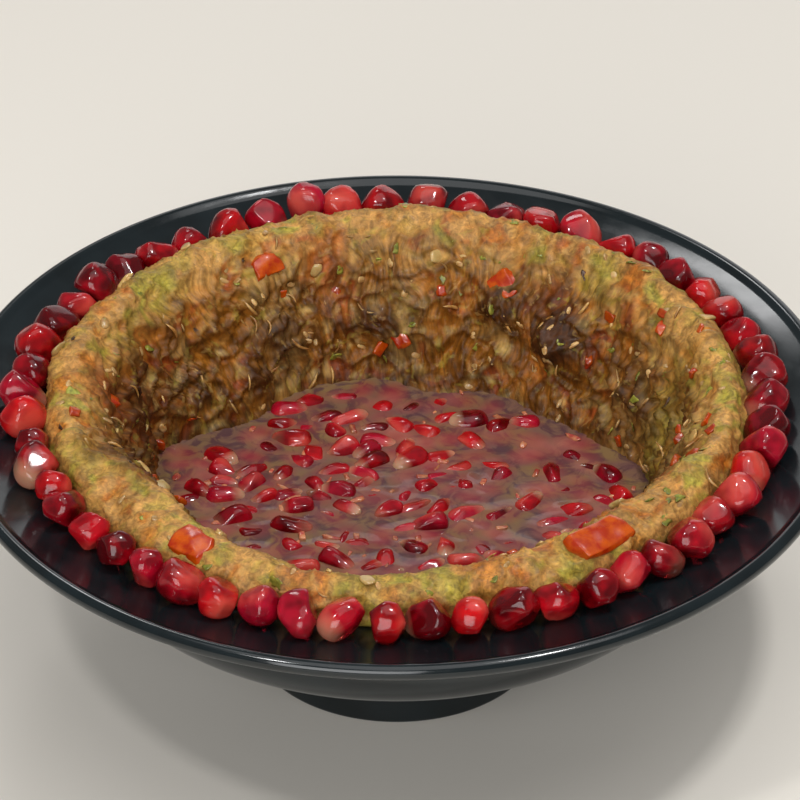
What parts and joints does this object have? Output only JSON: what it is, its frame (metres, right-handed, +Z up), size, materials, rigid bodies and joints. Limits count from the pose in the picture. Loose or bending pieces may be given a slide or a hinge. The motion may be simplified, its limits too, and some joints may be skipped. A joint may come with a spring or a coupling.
{
  "type": "baba ganoush in a footed bowl",
  "caption": "Smoky aubergine dip spread up a round footed bowl, with a crater of pomegranate sauce and a garland of pomegranate arils along the flange.",
  "frame": {"origin": "middle of the foot's underside, on the bowl's axis", "axes": "+Z up along the bowl's axis; -Y is the side that faces the viewer, where the crest of the mash is lowest"},
  "size_m": [0.18, 0.18, 0.0649],
  "materials": {
    "bowl_glaze": "glossy blue-black glaze",
    "aubergine_mash": "moist lumpy cooked vegetable mash, golden tan, soft uneven gloss",
    "pomegranate_sauce": "glossy dark mauve-brown liquid",
    "pomegranate_aril": "glossy translucent dark red to pink",
    "red_pepper": "moist orange-red skin"
  },
  "bodies": {
    "root": {"bowl": "bowl_glaze", "mash": "aubergine_mash", "sauce_pool": "pomegranate_sauce", "aril_garland": "pomegranate_aril", "pepper_front_right": "red_pepper", "pepper_front_left": "red_pepper", "pepper_back_right": "red_pepper", "pepper_back_left": "red_pepper"}
  },
  "joints": []
}
